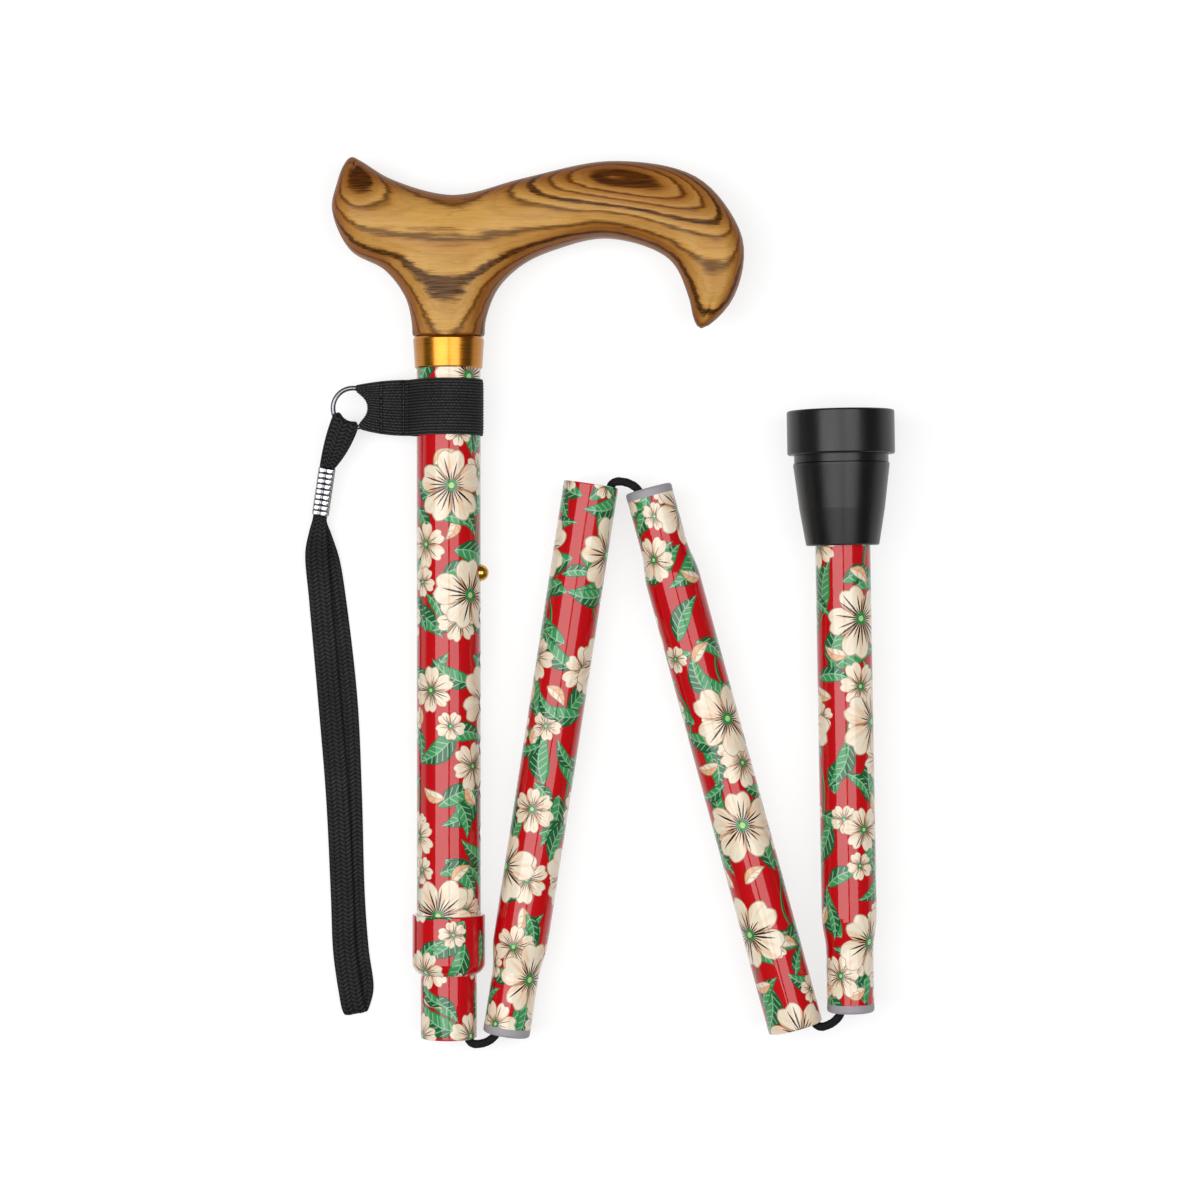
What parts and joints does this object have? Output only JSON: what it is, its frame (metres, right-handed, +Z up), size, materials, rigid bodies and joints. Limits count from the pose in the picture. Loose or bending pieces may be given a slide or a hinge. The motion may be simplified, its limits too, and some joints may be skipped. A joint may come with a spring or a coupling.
{
  "type": "folding walking cane",
  "caption": "Folding height-adjustable walking cane with a wooden derby handle, printed tube sections on an elastic cord, a rubber tip and a wrist strap, lying part-folded.",
  "frame": {"origin": "on the table under the middle of the part-folded cane, the wrist loop left out", "axes": "+Y along the upper shaft towards the handle, +X from the upper shaft towards the tip section, +Z up from the table"},
  "size_m": [0.2048, 0.3091, 0.0371],
  "materials": {
    "wood": "golden-brown lacquered hardwood",
    "gold_anodised": "gold anodised, fine turned",
    "printed_tube": "floral print on red under clear gloss lacquer",
    "zinc_steel": "zinc plated",
    "spring_steel": "bright spring steel",
    "ring_steel": "nickel plated wire",
    "crimp_chrome": "chrome plated sheet",
    "brass": "polished",
    "black_plastic": "moulded",
    "grey_plastic": "moulded",
    "rubber": "satin moulded",
    "nylon_webbing": "ribbed nylon webbing",
    "nylon_lace": "flat herringbone braid",
    "elastic_cord": "woven elastic"
  },
  "bodies": {
    "upper_shaft": {"handle": "wood", "handle_stud": "zinc_steel", "stud_nut": "zinc_steel", "top_plug": "black_plastic", "collar": "gold_anodised", "upper_tube": "printed_tube", "clamp_collet": "black_plastic", "strap_band": "nylon_webbing"},
    "lock_ring": {"lock_ring": "printed_tube"},
    "adjust_tube": {"adjust_tube": "printed_tube", "glide_bush": "grey_plastic", "button_spring": "spring_steel", "upper_anchor": "grey_plastic", "elastic_1": "elastic_cord"},
    "lock_button": {"lock_button": "brass"},
    "cord_link_1": {"cord_link_1": "elastic_cord"},
    "section_2": {"section_2_tube": "printed_tube", "guide_bush_2": "grey_plastic", "elastic_2": "elastic_cord"},
    "cord_link_2": {"cord_link_2": "elastic_cord"},
    "section_3": {"section_3_tube": "printed_tube", "guide_bush_3": "grey_plastic", "elastic_3": "elastic_cord"},
    "cord_link_3": {"cord_link_3": "elastic_cord"},
    "section_4": {"section_4_tube": "printed_tube", "guide_bush_4": "grey_plastic", "elastic_4": "elastic_cord", "lower_anchor": "grey_plastic", "rubber_tip": "rubber", "tip_washer": "zinc_steel"},
    "strap_ring": {"strap_ring": "ring_steel"},
    "wrist_strap": {"strap_eye": "nylon_lace", "strap_crimp": "crimp_chrome", "wrist_loop": "nylon_lace"}
  },
  "joints": [
    {"name": "height_adjust", "type": "slide", "parent": "upper_shaft", "child": "adjust_tube", "axis": [0.0001, -1, -0.0037], "range_m": [0, 0.09]},
    {"name": "button_press", "type": "slide", "parent": "adjust_tube", "child": "lock_button", "axis": [-0.9992, 0, -0.0388], "range_m": [0, 0.0042], "stiffness_N_per_m": 900, "springref_m": -0.002, "deforming": ["button_spring"]},
    {"name": "lock_ring_turn", "type": "hinge", "parent": "upper_shaft", "child": "lock_ring", "pos_m": [-0.05645, -0.12946, 0.0126], "axis": [0.0001, -1, -0.0037], "range_deg": [0, 180]},
    {"name": "fold_upper", "type": "hinge", "parent": "adjust_tube", "child": "cord_link_1", "pos_m": [-0.04667, -0.15156, 0.0129], "axis": [0.0388, 0.0037, -0.9992], "range_deg": [-4, 171.2], "deforming": ["cord_link_1"]},
    {"name": "seat_upper", "type": "slide", "parent": "cord_link_1", "child": "section_2", "axis": [-0.1527, -0.9882, -0.0096], "range_m": [0, 0.0243], "deforming": ["elastic_1"]},
    {"name": "fold_middle", "type": "hinge", "parent": "section_2", "child": "cord_link_2", "pos_m": [0.00253, 0.03945, 0.01551], "axis": [-0.0388, -0.0037, 0.9992], "range_deg": [-3.64, 155.9], "deforming": ["cord_link_2"]},
    {"name": "seat_middle", "type": "slide", "parent": "cord_link_2", "child": "section_3", "axis": [-0.2638, 0.9646, -0.0067], "range_m": [0, 0.0243], "deforming": ["elastic_2"]},
    {"name": "fold_lower", "type": "hinge", "parent": "section_3", "child": "cord_link_3", "pos_m": [0.07297, -0.14479, 0.01756], "axis": [0.0388, 0.0037, -0.9992], "range_deg": [-11, 165.7], "deforming": ["cord_link_3"]},
    {"name": "seat_lower", "type": "slide", "parent": "cord_link_3", "child": "section_4", "axis": [0.0176, -0.9998, -0.003], "range_m": [0, 0.0243], "deforming": ["elastic_3", "elastic_4"]},
    {"name": "ring_turn", "type": "hinge", "parent": "upper_shaft", "child": "strap_ring", "pos_m": [-0.08975, 0.06714, 0.01203], "axis": [0, 0, 1], "range_deg": [-50, 2]},
    {"name": "strap_swing", "type": "hinge", "parent": "strap_ring", "child": "wrist_strap", "pos_m": [-0.08975, 0.06714, 0.01203], "axis": [0, 0, 1], "range_deg": [-50, 2]}
  ],
  "couplings": [
    {"joint": "fold_middle", "follows": "fold_upper", "ratio": 0.91063}
  ]
}
